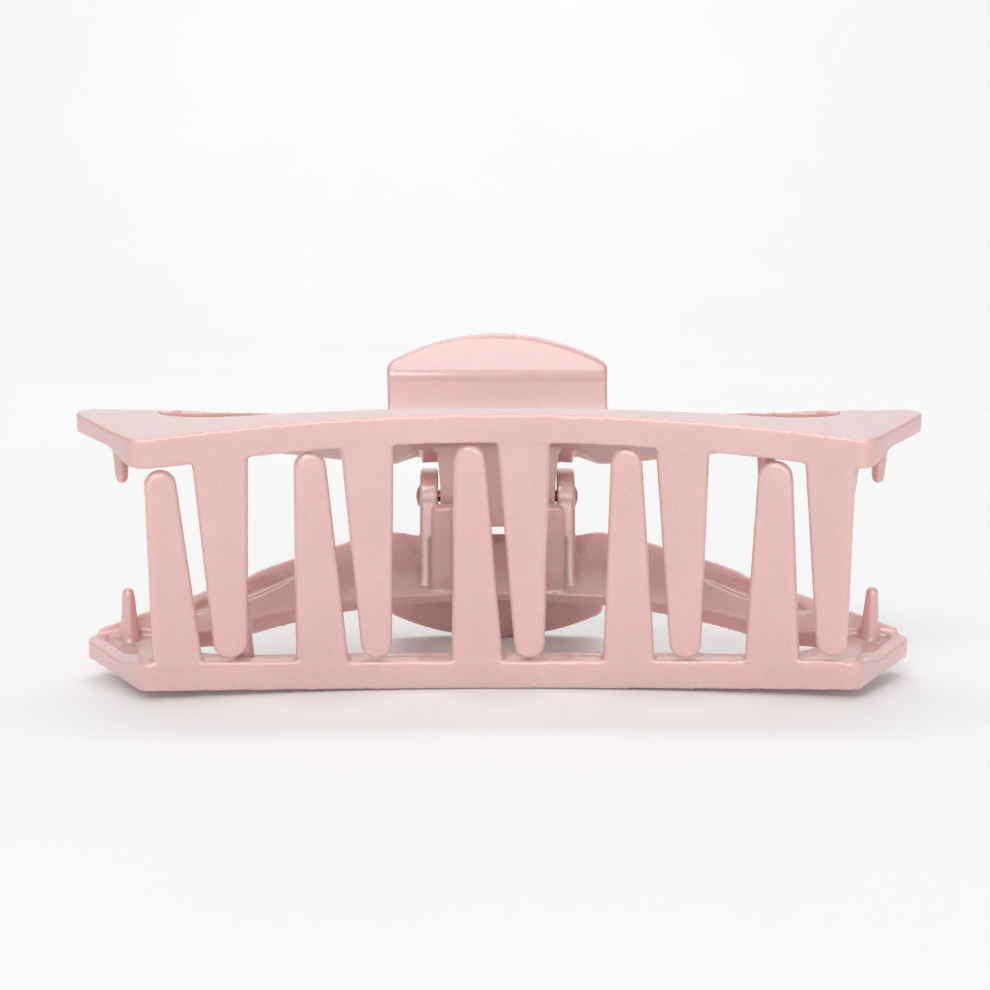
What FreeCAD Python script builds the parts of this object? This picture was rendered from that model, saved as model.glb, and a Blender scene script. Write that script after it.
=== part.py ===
"""Large hair claw clip: two toothed jaws on a hinge pin, closed by a torsion spring.

The jaws are drawn in the clip's own frame: X along the clip, Y from the teeth back to the
hinge, Z away from the plane where the jaws meet. The upper jaw is drawn, and the lower jaw
is its copy turned half a turn about Y. The whole clip is then tilted so that it lies on
its lower rim and lower finger tab, and moved so that its base centre is the origin.
"""

import FreeCAD
import Part
import math
import os

V = FreeCAD.Vector

# ---- frame ----
rest_tilt = 7.2          # degrees, nose-down tilt of the clip as it lies on the table

# ---- jaw plate ----
corner_x = 46.5          # front corners
corner_y = -1.2
rim_mid_y = 5.25         # front of the rim at the middle, set back from the corners
tip_x = 56.85            # side tips
tip_y = 14.2
plate_back_y = 16.3
lip_width = 2.3          # front wall and end lips
window_front_y = 9.2
corner_round = 2.4
tip_round = 2.4

# ---- teeth, as (x, root width, tip width, lean) ----
teeth = (
    (-35.75, 7.25, 4.5, 0.60),
    (-17.30, 6.95, 4.1, 0.95),
    (2.75, 6.90, 4.1, 1.05),
    (23.10, 7.00, 4.2, 1.15),
    (41.50, 6.45, 4.05, 1.35),
)
lower_shift = 0.3        # the lower teeth sit this much further along
spike_shift = -0.4       # and the lower spikes this much
tooth_thick = 2.3
tooth_tip_thick = 1.7
tip_gap = 0.3            # from a tooth tip to the opposite rim when closed
tip_reach_max = 14.6
end_tip_reach = 12.5     # the outermost tooth is a little shorter
tooth_edge_round = 0.55

# ---- small spikes, as (x, y, tip z) ----
spike_spots = ((-50.5, 14.0, 7.3), (50.8, 14.0, 7.3), (45.2, 5.2, 7.8), (34.4, 6.4, 6.3))
spike_base_r = 1.42
spike_tip_r = 0.85

# ---- hinge ----
hinge_y = 34.55
pin_r = 0.85
pin_press = 0.02         # interference in the lower jaw's ears
pin_clear = 0.06         # running clearance in the upper jaw's ears
pin_half = 11.45
head_r = 1.7
head_high = 0.55
outer_ear_in = 8.55
outer_ear_out = 11.15
outer_ear_r = 4.07
inner_ear_in = 6.5
inner_ear_out = 8.2
inner_ear_r = 3.3
guard_front_y = 29.8
guard_thick = 1.3
guard_bottom_z = -3.4
guard_half = 8.2
guard_top_half = 8.9
guard_top_z = 9.8        # inside the bar
post_in = 6.2
post_out = 9.5
post_front_y = 26.0
post_back_y = 28.4
post_top_z = 0.6

# ---- finger tab, front face as (y, z): curved from the root, then flat to the end ----
tab_curve = ((28.2, 12.2), (32.2, 13.75), (35.25, 16.1), (37.0, 18.5))
tab_flat_top = (38.35, 23.6)
tab_half = 16.0
tab_root_half = 15.4
tab_tip_z = 23.0
tab_side_z = 18.85       # where the arched end meets the sides
tab_thick = 2.2
tab_round = 1.5

# ---- spring ----
wire_r = 0.55
coil_r = 2.4             # centreline radius
coil_half = 5.0
coil_turns = 5
leg_lean = 5.5           # degrees, towards the tabs
leg_reach = 12.5


def rim_front_y(x):
    """Front of the rim: a shallow curve, set back in the middle."""
    return rim_mid_y - (rim_mid_y - corner_y) * (x / corner_x) ** 2


def rim_top_z(x):
    """Outer face of the jaw: arched over the rim, flat over the end platforms."""
    a = min(abs(x), 45.0) / corner_x
    return 18.75 - 2.05 * a ** 2 + 0.045 * max(abs(x) - 50.0, 0.0)


def rim_in_z(x):
    """Inner edge of the rim and end lips: an arch, stepping up along the slanted ends."""
    a = min(abs(x), 42.0)
    step = min(max((abs(x) - 46.3) / 4.4, 0.0), 1.0)
    return 14.9 - 0.00110 * a ** 2 + 1.55 * step * step * (3 - 2 * step)


def plate_in_z(x):
    """Inner surface of the plate."""
    a = abs(x)
    return 14.85 + 0.5 * (min(a, 41.0) / 41.0) ** 2 - 0.45 * min(max((a - 44.0) / 5.0, 0.0), 1.0)


def spline(points):
    """Smooth edge through a row of points."""
    curve = Part.BSplineCurve()
    curve.interpolate(points)
    return curve.toShape()


def curve(points, leave):
    """Smooth edge through a row of points that leaves the last one in a given direction."""
    made = Part.BSplineCurve()
    start = points[1] - points[0]
    made.interpolate(Points=points, InitialTangent=start.normalize(), FinalTangent=leave)
    return made.toShape()


def prism(points, low, high):
    """Upright prism on a plan outline of (x, y) points."""
    wire = Part.makePolygon([V(x, y, low) for x, y in points + points[:1]])
    return Part.Face(wire).extrude(V(0, 0, high - low))


def side_prism(points, x0, x1):
    """Prism along X on an outline of (y, z) points."""
    wire = Part.makePolygon([V(x0, y, z) for y, z in points + points[:1]])
    return Part.Face(wire).extrude(V(x1 - x0, 0, 0))


def round_upright(shape, spots, radius):
    """Round the upright edges that stand near the given (x, y) spots."""
    edges = []
    for e in shape.Edges:
        a, b = e.Vertexes[0].Point, e.Vertexes[-1].Point
        upright = math.hypot(a.x - b.x, a.y - b.y) < 0.01
        if upright and any(math.hypot(a.x - x, a.y - y) < 0.3 for x, y in spots):
            edges.append(e)
    return shape.makeFillet(radius, edges)


def slab(low, high):
    """Layer between two heights that vary along X."""
    xs = [-60 + 120 * i / 48 for i in range(49)]
    top = spline([V(x, -10, high(x)) for x in xs])
    base = spline([V(x, -10, low(x)) for x in xs])
    ends = [Part.makeLine(V(x, -10, low(x)), V(x, -10, high(x))) for x in (60, -60)]
    wire = Part.Wire(Part.__sortEdges__([base, ends[0], top, ends[1]]))
    return Part.Face(wire).extrude(V(0, 50, 0))


def plan(inset, back):
    """Plan of the jaw plate, drawn in by an inset at the front and the ends."""
    slope = math.atan2(tip_y - corner_y, tip_x - corner_x)
    cx = corner_x - inset * math.tan(slope / 2)
    cy = corner_y + inset
    ax = tip_x - inset / math.sin(slope)
    half = math.radians(20)
    bx = ax - 3.0 * math.sin(half) - 1.4
    arc = Part.Arc(V(-cx, cy, 0), V(0, rim_mid_y + inset, 0), V(cx, cy, 0)).toShape()
    rest = [V(cx, cy, 0), V(ax, tip_y, 0), V(bx, back, 0), V(-bx, back, 0)]
    rest += [V(-ax, tip_y, 0), V(-cx, cy, 0)]
    face = Part.Face(Part.Wire([arc] + list(Part.makePolygon(rest).Edges)))
    solid = face.extrude(V(0, 0, 30))
    solid = round_upright(solid, [(cx, cy), (-cx, cy)], max(corner_round - inset, 0.6))
    return round_upright(solid, [(ax, tip_y), (-ax, tip_y)], max(tip_round - inset / 2, 0.4))


def window():
    """Opening between the rim and the back bar, drawn over the platforms only."""
    corner = [(34.0, window_front_y), (38.0, 9.75), (41.6, 11.2), (44.2, 13.2), (45.6, 15.8)]
    sides = [[V(side * x, y, 5) for x, y in corner] for side in (-1, 1)]
    curves = [spline(row) for row in sides]
    back = [sides[1][-1], V(39, 40, 5), V(-39, 40, 5), sides[0][-1]]
    front = Part.makeLine(sides[0][0], sides[1][0])
    edges = [front, curves[1]] + list(Part.makePolygon(back).Edges) + [curves[0]]
    return Part.Face(Part.Wire(Part.__sortEdges__(edges))).extrude(V(0, 0, 25))


def plate():
    """Rim, end platforms and their lips."""
    top = rim_top_z
    sheet = plan(0, plate_back_y).common(slab(plate_in_z, top)).cut(window())
    border = plan(0, plate_back_y).cut(plan(lip_width, plate_back_y + 3))
    border = border.common(slab(rim_in_z, top))
    return sheet.fuse(border)


# Back bar, as (x, window edge y z, window-edge inner y z, hinge edge y z)
bar_stations = (
    (0.0, 27.3, 13.66, 26.0, 12.2, 33.8, 5.4),
    (7.0, 27.0, 13.80, 25.7, 12.2, 33.8, 5.25),
    (14.5, 25.9, 13.95, 24.6, 12.2, 33.4, 4.95),
    (21.5, 23.9, 14.30, 22.9, 12.4, 31.6, 5.9),
    (28.5, 21.6, 15.10, 21.0, 12.9, 28.9, 7.4),
    (34.5, 18.9, 16.00, 18.6, 13.6, 25.8, 8.8),
    (41.0, 16.1, 16.90, 16.0, 14.3, 22.4, 10.35),
)
bar_thick = 2.2


def bar_section(x, oy, oz, iy, iz, hy, hz):
    """Four-sided section of the back bar in a plane across X."""
    slope = math.atan2(iz - hz, hy - iy)
    cy = hy + bar_thick * math.sin(slope)
    cz = hz + bar_thick * math.cos(slope)
    return Part.makePolygon([V(x, y, z) for y, z in ((oy, oz), (iy, iz), (hy, hz), (cy, cz), (oy, oz))])


def bar():
    """Back bar: a sloping strap from platform to platform past the hinge."""
    rows = [(-r[0],) + r[1:] for r in reversed(bar_stations[1:])] + list(bar_stations)
    strap = Part.makeLoft([bar_section(*r) for r in rows], True, False)
    root = bar_stations[-1]
    near_tip = (50.5, 15.7, 16.95, 15.7, 13.8, 17.5, 12.45)
    at_tip = (54.9, 14.6, 16.6, 14.6, 13.9, 15.1, 13.5)
    for side in (-1, 1):
        ends = [(side * r[0],) + r[1:] for r in (root, near_tip, at_tip)]
        strap = strap.fuse(Part.makeLoft([bar_section(*r) for r in ends], True, True))
    return strap


def tooth(x, root_w, tip_w, lean):
    """Flat tapering tooth with a round tip, standing on the rim and pointing across."""
    root_z = rim_in_z(x) + 1.0
    reach = end_tip_reach if abs(x) > 40 else min(rim_in_z(x) - tip_gap, tip_reach_max)
    tip_z = -reach
    hw, tw = root_w / 2, tip_w / 2
    arc_z = tip_z + 0.9 * tw
    left = Part.makeLine(V(-hw, 0, root_z), V(lean - tw, 0, arc_z))
    nose = Part.Arc(V(lean - tw, 0, arc_z), V(lean, 0, tip_z), V(lean + tw, 0, arc_z)).toShape()
    right = Part.makeLine(V(lean + tw, 0, arc_z), V(hw, 0, root_z))
    top = Part.makeLine(V(hw, 0, root_z), V(-hw, 0, root_z))
    blade = Part.Face(Part.Wire([left, nose, right, top])).extrude(V(0, tooth_thick, 0))
    back = [(tooth_thick, root_z - 4), (tooth_thick + 1, root_z - 4)]
    back += [(tooth_thick + 1, tip_z - 1), (tooth_tip_thick, tip_z - 1)]
    blade = blade.cut(side_prism(back, -8, 8))
    rim = [e for e in blade.Edges if e.BoundBox.YMax < 0.01 and e.BoundBox.ZLength > 0.5]
    blade = blade.makeFillet(tooth_edge_round, rim)
    nose_back = [e for e in blade.Edges if e.BoundBox.ZMax < arc_z + 0.1 and e.BoundBox.YMin > 1.2]
    blade = blade.makeFillet(0.5, nose_back)
    turn = math.degrees(math.atan2(rim_front_y(x + 1) - rim_front_y(x - 1), 2))
    blade.rotate(V(0, 0, 0), V(0, 0, 1), turn)
    blade.translate(V(x, rim_front_y(x) + 0.05, 0))
    return blade


def spike(x, y, tip_z):
    """Small blunt cone on the platform."""
    root_z = plate_in_z(x) + 0.6
    high = root_z - tip_z - spike_tip_r
    cone = Part.makeCone(spike_base_r, spike_tip_r, high, V(x, y, root_z), V(0, 0, -1))
    return cone.fuse(Part.makeSphere(spike_tip_r, V(x, y, tip_z + spike_tip_r)))


def tab():
    """Finger tab: a plate that flares up from the back bar to an arched end."""
    bend, top = V(-20, *tab_curve[-1]), V(-20, *tab_flat_top)
    along = (top - bend).normalize()
    out = V(0, along.z, -along.y) * tab_thick
    front = curve([V(-20, y, z) for y, z in tab_curve], along)
    inner = [V(-20, y + t * tab_thick, z - (1 - t) * tab_thick) for (y, z), t in
             zip(tab_curve[:-1], (0.25, 0.45, 0.68))]
    back = curve(inner + [bend + out], along)
    lines = [Part.makeLine(bend, top), Part.makeLine(top, top + out)]
    lines += [Part.makeLine(top + out, bend + out), Part.makeLine(V(-20, *tab_curve[0]), inner[0])]
    band = Part.Face(Part.Wire(Part.__sortEdges__([front, back] + lines)))
    band = band.extrude(V(40, 0, 0))
    corners = [V(-tab_root_half, 25, 8), V(tab_root_half, 25, 8)]
    corners += [V(tab_half, 25, tab_side_z), V(-tab_half, 25, tab_side_z)]
    arc = Part.Arc(corners[2], V(0, 25, tab_tip_z), corners[3]).toShape()
    edges = [Part.makeLine(corners[i], corners[i - 1]) for i in (1, 2, 0)]
    outline = Part.Face(Part.Wire(Part.__sortEdges__(edges + [arc]))).extrude(V(0, 20, 0))
    sharp = [e for e in outline.Edges if e.BoundBox.YLength > 19 and e.BoundBox.ZMin > 15]
    body = band.common(outline.makeFillet(tab_round, sharp))
    rim = []
    for e in body.Edges:
        box = e.BoundBox
        if box.ZMax > 20.5 or (box.XLength < 0.8 and box.ZLength > 3):
            rim.append(e)
    return body.makeFillet(0.45, rim)


def face_wedge(side):
    """Scoop in the bar's inner face beside the ears: deep at the ear, running out to nothing."""
    ear_x, out_x = side * (outer_ear_out - 0.2), side * 15.6
    top, low = V(ear_x, 34.2, 4.0), V(ear_x, 28.6, 9.6)
    out, deep = V(out_x, 34.4, 3.9), V(ear_x, 34.3, 6.2)
    faces = [(top, low, out), (top, low, deep), (top, out, deep), (low, out, deep)]
    shell = Part.Shell([Part.Face(Part.makePolygon(list(f) + [f[0]])) for f in faces])
    return Part.Solid(shell)


def face_groove(side):
    """Long shallow hollow in the bar's inner face."""
    ball = Part.makeSphere(1.0)
    stretch = FreeCAD.Matrix()
    stretch.scale(8.0, 1.35, 0.95)
    ball = ball.transformGeometry(stretch)
    ball.rotate(V(0, 0, 0), V(1, 0, 0), -34)
    ball.rotate(V(0, 0, 0), V(0, 0, 1), -side * 27)
    ball.rotate(V(0, 0, 0), V(0, 1, 0), -side * 13)
    ball.translate(V(side * 36.0, 22.5, 10.8))
    return ball


def pin_hole(radius):
    """Cutter along the hinge axis."""
    return Part.makeCylinder(radius, 40, V(-20, hinge_y, 0), V(1, 0, 0))


def jaw(tooth_move, spike_move):
    """Everything the two jaws share, in the upper position."""
    strap = bar()
    for side in (-1, 1):
        strap = strap.cut(face_wedge(side)).cut(face_groove(side))
    body = plate().fuse(strap).fuse(tab())
    for x, root_w, tip_w, lean in teeth:
        body = body.fuse(tooth(x + tooth_move, root_w, tip_w, lean))
    for x, y, z in spike_spots:
        body = body.fuse(spike(x + spike_move, y, z))
    return body


def ear(x0, x1, radius, foot):
    """Hinge ear: a round end about the pin on a foot of (y, z) points."""
    eye = Part.makeCylinder(radius, x1 - x0, V(x0, hinge_y, 0), V(1, 0, 0))
    return eye.fuse(side_prism(foot, x0, x1))


def guard():
    """Wall that hangs from the upper bar in front of the spring."""
    rows = [(guard_top_half, guard_top_z), (guard_half, 2.8), (guard_half, guard_bottom_z)]
    outline = rows + [(-x, z) for x, z in reversed(rows)]
    wire = Part.makePolygon([V(x, guard_front_y, z) for x, z in outline + outline[:1]])
    return Part.Face(wire).extrude(V(0, guard_thick, 0))


def upper_jaw():
    """Upper jaw with its guard wall and the inner pair of ears."""
    body = jaw(0.0, 0.0).fuse(guard())
    back = guard_front_y + guard_thick
    foot = [(back - 0.4, 7.6), (back - 0.4, -inner_ear_r), (hinge_y, -inner_ear_r)]
    foot += [(hinge_y + inner_ear_r, 0), (hinge_y + 1.0, 5.5)]
    for side in (-1, 1):
        x0, x1 = sorted((side * inner_ear_in, side * inner_ear_out))
        body = body.fuse(ear(x0, x1, inner_ear_r, foot))
    return body.cut(pin_hole(pin_r + pin_clear)).removeSplitter()


def lower_jaw():
    """Lower jaw with its outer ears and the posts in front of the guard."""
    body = jaw(lower_shift, spike_shift)
    body.rotate(V(0, 0, 0), V(0, 1, 0), 180)
    foot = [(hinge_y - outer_ear_r, 0), (hinge_y + outer_ear_r, 0), (hinge_y + 1.2, -6.2)]
    foot += [(26.6, -13.2), (26.6, -10.6)]
    for side in (-1, 1):
        x0, x1 = sorted((side * outer_ear_in, side * outer_ear_out))
        body = body.fuse(ear(x0, x1, outer_ear_r, foot))
        body = body.fuse(post(side))
    return body.cut(pin_hole(pin_r - pin_press)).removeSplitter()


def post(side):
    """Upright stop in front of the guard, round at its outer top corner."""
    x0, x1 = sorted((side * post_in, side * post_out))
    block = Part.makeBox(x1 - x0, post_back_y - post_front_y, post_top_z + 12.5, V(x0, post_front_y, -12.5))
    edges = []
    for e in block.Edges:
        box = e.BoundBox
        outer = abs(abs(box.XMax) - post_out) < 0.01 and abs(abs(box.XMin) - post_out) < 0.01
        if outer and box.ZMin > post_top_z - 0.01:
            edges.append(e)
    return block.makeFillet(1.1, edges)


def pin():
    """Hinge pin with a domed head at one end and a riveted one at the other."""
    shaft = Part.makeCylinder(pin_r, 2 * pin_half, V(-pin_half, hinge_y, 0), V(1, 0, 0))
    ball_r = (head_r ** 2 + head_high ** 2) / (2 * head_high)
    for side in (-1, 1):
        face = side * (outer_ear_out + 0.05)
        ball = Part.makeSphere(ball_r, V(face - side * (ball_r - head_high), hinge_y, 0))
        keep = Part.makeCylinder(head_r, head_high + 0.2, V(face, hinge_y, 0), V(side, 0, 0))
        shaft = shaft.fuse(ball.common(keep))
    return shaft


def spring_path():
    """Points along the coil, from where the upper leg meets it to the lower leg."""
    lean = math.radians(leg_lean)
    span = 2 * math.pi * coil_turns + 2 * lean
    count = 20 * coil_turns
    coil = []
    for i in range(count + 1):
        a = lean - span * i / count
        x = -coil_half + 2 * coil_half * i / count
        coil.append(V(x, hinge_y + coil_r * math.cos(a), coil_r * math.sin(a)))
    return coil


def spring():
    """Torsion spring: a close coil round the pin with a straight leg to each tab."""
    coil = spring_path()
    first, last = coil[0], coil[-1]
    lean = math.radians(leg_lean)
    head = V(0, -math.sin(lean), math.cos(lean))
    tail = V(0, -math.sin(lean), -math.cos(lean))
    path = Part.Wire([spline(coil)])
    ring = Part.Wire([Part.makeCircle(wire_r, first, coil[1] - coil[0])])
    body = path.makePipeShell([ring], True, True)
    for spot, way in ((first, head), (last, tail)):
        body = body.fuse(Part.makeCylinder(wire_r, leg_reach, spot, way))
        body = body.fuse(Part.makeSphere(wire_r, spot))
        body = body.fuse(Part.makeSphere(wire_r, spot + way * leg_reach))
    return body


def lay_down(shapes):
    """Tilt the clip to its resting pose and put its base centre at the origin."""
    for s in shapes.values():
        s.rotate(V(0, 0, 0), V(1, 0, 0), rest_tilt)
    box = FreeCAD.BoundBox()
    for s in shapes.values():
        box.add(s.optimalBoundingBox(False, False))
    shift = V(-box.Center.x, -box.Center.y, -box.ZMin)
    for s in shapes.values():
        s.translate(shift)
    print("shift", shift, "size", box.XLength, box.YLength, box.ZLength)


def main():
    os.makedirs("parts", exist_ok=True)
    shapes = {"upper_jaw": upper_jaw(), "lower_jaw": lower_jaw(), "pin": pin(), "spring": spring()}
    lay_down(shapes)
    for name, shape in shapes.items():
        print(name, shape.ShapeType, len(shape.Solids), shape.isValid(), round(shape.Volume, 1))
        shape.exportStep("parts/" + name + ".step")


main()
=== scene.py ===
"""Pink pearl hair claw clip lying closed on a pale table, seen from the teeth side."""

import bpy
import math
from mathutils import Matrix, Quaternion, Vector


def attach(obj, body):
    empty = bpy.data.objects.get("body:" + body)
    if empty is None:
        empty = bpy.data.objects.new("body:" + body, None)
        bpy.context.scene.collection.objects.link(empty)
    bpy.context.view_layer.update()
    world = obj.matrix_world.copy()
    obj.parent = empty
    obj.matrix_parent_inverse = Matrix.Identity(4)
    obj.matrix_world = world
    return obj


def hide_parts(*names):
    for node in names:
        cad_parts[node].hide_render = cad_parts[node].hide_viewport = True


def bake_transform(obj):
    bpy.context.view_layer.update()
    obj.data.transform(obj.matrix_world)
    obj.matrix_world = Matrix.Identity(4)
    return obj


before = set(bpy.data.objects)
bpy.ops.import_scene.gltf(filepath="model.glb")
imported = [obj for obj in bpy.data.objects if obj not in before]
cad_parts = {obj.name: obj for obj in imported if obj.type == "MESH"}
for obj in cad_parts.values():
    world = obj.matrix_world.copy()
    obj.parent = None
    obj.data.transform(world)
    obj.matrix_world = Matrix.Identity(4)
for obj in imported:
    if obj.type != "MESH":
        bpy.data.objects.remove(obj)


def save_size():
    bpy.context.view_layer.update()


save_size()

# ---- sizes, metres ----
GRAIN = 0.00022          # cell of the softened mouldings
SMOOTH_PASSES = 8

# ---- table, backdrop and camera, metres and degrees ----
SWEEP_HALF = 3.0
SWEEP_FRONT_Y = -3.0
SWEEP_BEND_Y = 0.7       # where the floor starts to curve up
SWEEP_BEND_R = 0.5
SWEEP_BEND_STEPS = 12
SWEEP_TOP_Z = 3.0
WORLD_STRENGTH = 0.44
CAMERA_PLACE = (-0.0053, -0.26341, 0.06051)
CAMERA_YAW = 1.03
CAMERA_DIP = 7.8
CAMERA_ROLL = -0.12
CAMERA_LENS = 70.15      # millimetres, on a 36 mm sensor

# ---- colours ----
PINK_LOW = (0.610, 0.364, 0.346)
PINK_HIGH = (0.645, 0.394, 0.376)
MICA = (0.93, 0.76, 0.72)
MICA_SHARE = 0.16        # strength of the brightest mica flakes
# dark red-brown given to the hinge pin, the same tone its heads show inside the hinge
PIN_DARK_RED = (0.42, 0.15, 0.11)
WIRE_GREY = (0.62, 0.61, 0.60)


# ---- materials ----
def new_material(name):
    mat = bpy.data.materials.new(name)
    mat.use_nodes = True
    tree = mat.node_tree
    shader = tree.nodes["Principled BSDF"]
    return mat, tree, shader


def node(tree, kind, **values):
    """A new node with its properties, or else its inputs, set by name."""
    made = tree.nodes.new(kind)
    for key, value in values.items():
        if hasattr(made, key):
            setattr(made, key, value)
        else:
            made.inputs[key.replace("_", " ")].default_value = value
    return made


def ramp(tree, source, stops):
    """Colour ramp driven by source, with stops given as (place, colour)."""
    made = tree.nodes.new("ShaderNodeValToRGB")
    elements = made.color_ramp.elements
    while len(elements) < len(stops):
        elements.new(0.5)
    for element, (place, colour) in zip(elements, stops):
        element.position = place
        element.color = colour
    tree.links.new(source, made.inputs["Fac"])
    return made.outputs["Color"]


def opaque(colour):
    return (*colour, 1)


def grey(v):
    return opaque((v, v, v))


def varied(tree, source, low, spread):
    """A value that runs from low to low + spread as source runs from 0 to 1."""
    made = node(tree, "ShaderNodeMath", operation="MULTIPLY_ADD")
    made.inputs[1].default_value = spread
    made.inputs[2].default_value = low
    tree.links.new(source, made.inputs[0])
    return made.outputs[0]


def add_bump(tree, shader, source, strength, distance):
    bump = node(tree, "ShaderNodeBump", Strength=strength, Distance=distance)
    tree.links.new(source, bump.inputs["Height"])
    tree.links.new(bump.outputs["Normal"], shader.inputs["Normal"])


def pearl_plastic():
    """Glossy moulded plastic with a fine mica pearl, soft flow marks and a little scatter."""
    mat, tree, shader = new_material("pearl_plastic")
    link = tree.links.new
    place = node(tree, "ShaderNodeTexCoord")
    flow = node(tree, "ShaderNodeTexNoise", Scale=55.0, Detail=4.0, Roughness=0.6)
    link(place.outputs["Object"], flow.inputs["Vector"])
    stops = [(0.3, opaque(PINK_LOW)), (0.7, opaque(PINK_HIGH))]
    colour = ramp(tree, flow.outputs["Fac"], stops)
    mica = node(tree, "ShaderNodeTexVoronoi", Scale=5200.0)
    link(place.outputs["Object"], mica.inputs["Vector"])
    spark = ramp(tree, mica.outputs["Color"], [(0.55, grey(0)), (0.95, grey(1))])
    mix = node(tree, "ShaderNodeMix", data_type="RGBA")
    scaled = node(tree, "ShaderNodeMath", operation="MULTIPLY")
    scaled.inputs[1].default_value = MICA_SHARE
    link(spark, scaled.inputs[0])
    link(scaled.outputs[0], mix.inputs["Factor"])
    link(colour, mix.inputs["A"])
    mix.inputs["B"].default_value = opaque(MICA)
    link(mix.outputs["Result"], shader.inputs["Base Color"])
    rough = varied(tree, flow.outputs["Fac"], 0.40, 0.10)
    link(rough, shader.inputs["Roughness"])
    shader.inputs["IOR"].default_value = 2.3
    shader.inputs["Subsurface Weight"].default_value = 0.85
    shader.inputs["Subsurface Radius"].default_value = (1.0, 0.28, 0.2)
    shader.inputs["Subsurface Scale"].default_value = 0.003
    shader.inputs["Coat Weight"].default_value = 1.0
    shader.inputs["Coat IOR"].default_value = 1.5
    shader.inputs["Coat Roughness"].default_value = 0.09
    shader.inputs["Sheen Weight"].default_value = 0.08
    shader.inputs["Sheen Tint"].default_value = (1.0, 0.93, 0.97, 1)
    fine = node(tree, "ShaderNodeTexNoise", Scale=1500.0, Detail=3.0, Roughness=0.6)
    link(place.outputs["Object"], fine.inputs["Vector"])
    add_bump(tree, shader, fine.outputs["Fac"], 0.12, 0.00004)
    return mat


def metal(name, colour, low, high, scale):
    """Drawn or turned metal with fine streaks along X."""
    mat, tree, shader = new_material(name)
    link = tree.links.new
    place = node(tree, "ShaderNodeTexCoord")
    stretch = node(tree, "ShaderNodeMapping")
    stretch.inputs["Scale"].default_value = (0.2, 1.0, 1.0)
    link(place.outputs["Object"], stretch.inputs["Vector"])
    grain = node(tree, "ShaderNodeTexNoise", Scale=scale, Detail=5.0, Roughness=0.65)
    link(stretch.outputs["Vector"], grain.inputs["Vector"])
    dark = tuple(0.8 * c for c in colour)
    stops = [(0.35, opaque(dark)), (0.7, opaque(colour))]
    link(ramp(tree, grain.outputs["Fac"], stops), shader.inputs["Base Color"])
    rough = varied(tree, grain.outputs["Fac"], low, high - low)
    link(rough, shader.inputs["Roughness"])
    shader.inputs["Metallic"].default_value = 1.0
    add_bump(tree, shader, grain.outputs["Fac"], 0.1, 0.00003)
    return mat


def pale_paper():
    """White sweep under and behind the clip."""
    mat, tree, shader = new_material("white_sweep")
    link = tree.links.new
    place = node(tree, "ShaderNodeTexCoord")
    mottle = node(tree, "ShaderNodeTexNoise", Scale=8.0, Detail=4.0)
    link(place.outputs["Object"], mottle.inputs["Vector"])
    stops = [(0.3, grey(0.93)), (0.7, grey(0.95))]
    link(ramp(tree, mottle.outputs["Fac"], stops), shader.inputs["Base Color"])
    shader.inputs["Roughness"].default_value = 0.7
    shader.inputs["Specular IOR Level"].default_value = 0.2
    return mat


# ---- moulded jaws ----
def free_copy(name, suffix):
    """An unparented copy of a node's mesh."""
    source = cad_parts[name]
    made = source.copy()
    made.data = source.data.copy()
    made.name = name + suffix
    for key in list(made.keys()):
        del made[key]
    made.parent = None
    bpy.context.scene.collection.objects.link(made)
    return made


def softened(name, body):
    """A copy of a jaw with the soft edges and inside corners of a moulding."""
    made = free_copy(name, "_moulded")
    shape = made.modifiers.new("shape", "REMESH")
    shape.mode = "VOXEL"
    shape.voxel_size = GRAIN
    smooth = made.modifiers.new("smooth", "SMOOTH")
    smooth.factor = 0.5
    smooth.iterations = SMOOTH_PASSES
    graph = bpy.context.evaluated_depsgraph_get()
    mesh = bpy.data.meshes.new_from_object(made.evaluated_get(graph))
    made.modifiers.clear()
    made.data = mesh
    mesh.shade_smooth()
    mesh.materials.clear()
    mesh.materials.append(PEARL)
    made.hide_render = False
    made.hide_viewport = False
    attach(made, body)
    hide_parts(name)


PEARL = pearl_plastic()
PIN = metal("pin_metal", PIN_DARK_RED, 0.25, 0.4, 900.0)
STEEL = metal("spring_steel", WIRE_GREY, 0.2, 0.35, 1400.0)

for jaw_name, jaw_body in (("upper_jaw", "upper"), ("lower_jaw", "lower")):
    softened(jaw_name, jaw_body)


def wound_spring():
    """The spring, a smooth steel copy baked in place."""
    made = free_copy("spring", "_wound")
    made.data.materials.clear()
    made.data.materials.append(STEEL)
    made.data.shade_smooth()
    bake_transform(made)
    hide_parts("spring")


wound_spring()
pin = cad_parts["pin"]
pin.data.materials.clear()
pin.data.materials.append(PIN)
pin.data.shade_smooth()

# ---- table, lights, camera ----
PAPER = pale_paper()


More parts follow.
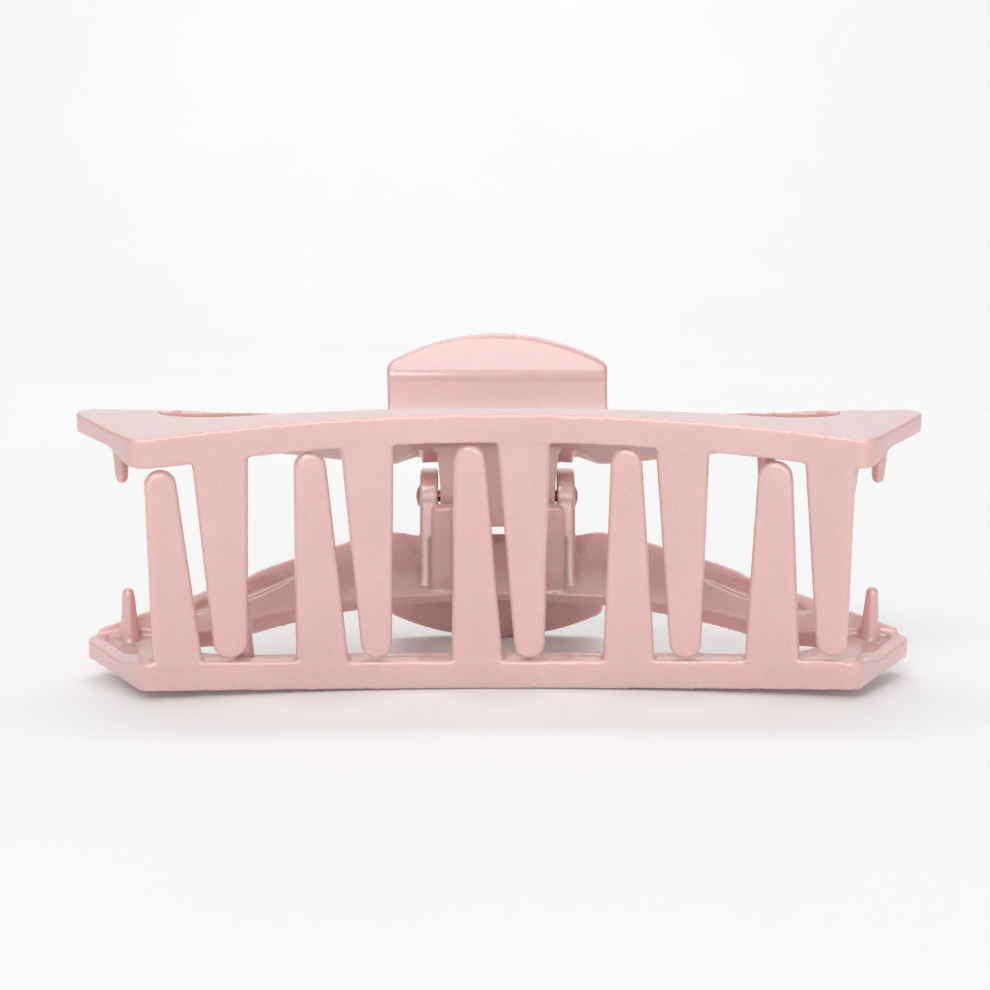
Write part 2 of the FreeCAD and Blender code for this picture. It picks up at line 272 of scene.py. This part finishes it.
def sweep():
    """Floor that curves up into a backdrop."""
    mesh = bpy.data.meshes.new("sweep")
    rows = [(SWEEP_FRONT_Y, 0.0), (SWEEP_BEND_Y, 0.0)]
    for i in range(1, SWEEP_BEND_STEPS + 1):
        a = math.pi / 2 / SWEEP_BEND_STEPS * i
        across = SWEEP_BEND_R * math.sin(a)
        up = SWEEP_BEND_R - SWEEP_BEND_R * math.cos(a)
        rows.append((SWEEP_BEND_Y + across, up))
    rows.append((SWEEP_BEND_Y + SWEEP_BEND_R, SWEEP_TOP_Z))
    verts = [(x, y, z) for y, z in rows for x in (-SWEEP_HALF, SWEEP_HALF)]
    faces = [(2 * i, 2 * i + 1, 2 * i + 3, 2 * i + 2) for i in range(len(rows) - 1)]
    mesh.from_pydata(verts, [], faces)
    mesh.materials.append(PAPER)
    mesh.shade_smooth()
    made = bpy.data.objects.new("sweep", mesh)
    bpy.context.scene.collection.objects.link(made)


def area(name, place, target, size, power):
    """Soft white panel at place, facing target; power in watts."""
    light = bpy.data.lights.new(name, "AREA")
    light.shape = "RECTANGLE"
    light.size, light.size_y = size
    light.energy = power
    made = bpy.data.objects.new(name, light)
    made.location = place
    made.rotation_euler = (Vector(target) - Vector(place)).to_track_quat("-Z", "Y").to_euler()
    bpy.context.scene.collection.objects.link(made)


sweep()
area("key", (-0.25, -0.8, 0.7), (0, 0, 0.02), (0.45, 0.3), 3.0)
area("front", (0.08, -0.9, 0.13), (0, 0, 0.02), (0.7, 0.5), 3.5)
area("top", (0, 0.1, 0.9), (0, 0, 0), (0.9, 0.7), 1.9)
area("backdrop", (0, 0.5, 1.1), (0, 1.2, 0.35), (1.2, 0.4), 4.8)

world = bpy.data.worlds.new("studio")
world.use_nodes = True
glow = world.node_tree.nodes["Background"]
glow.inputs["Color"].default_value = (1, 1, 1, 1)
glow.inputs["Strength"].default_value = WORLD_STRENGTH
bpy.context.scene.world = world
bpy.context.scene.view_settings.view_transform = "Standard"

camera_data = bpy.data.cameras.new("camera")
camera_data.sensor_width = 36
camera_data.lens = CAMERA_LENS
camera_data.clip_start = 0.01
camera = bpy.data.objects.new("camera", camera_data)
camera.location = CAMERA_PLACE
yaw, dip = math.radians(CAMERA_YAW), math.radians(CAMERA_DIP)
level = math.cos(dip)
look = Vector((math.sin(yaw) * level, math.cos(yaw) * level, -math.sin(dip)))
turn = Quaternion((0, 0, 1), -math.radians(CAMERA_ROLL))
camera.rotation_euler = (look.to_track_quat("-Z", "Y") @ turn).to_euler()
bpy.context.scene.collection.objects.link(camera)
bpy.context.scene.camera = camera

save_size()
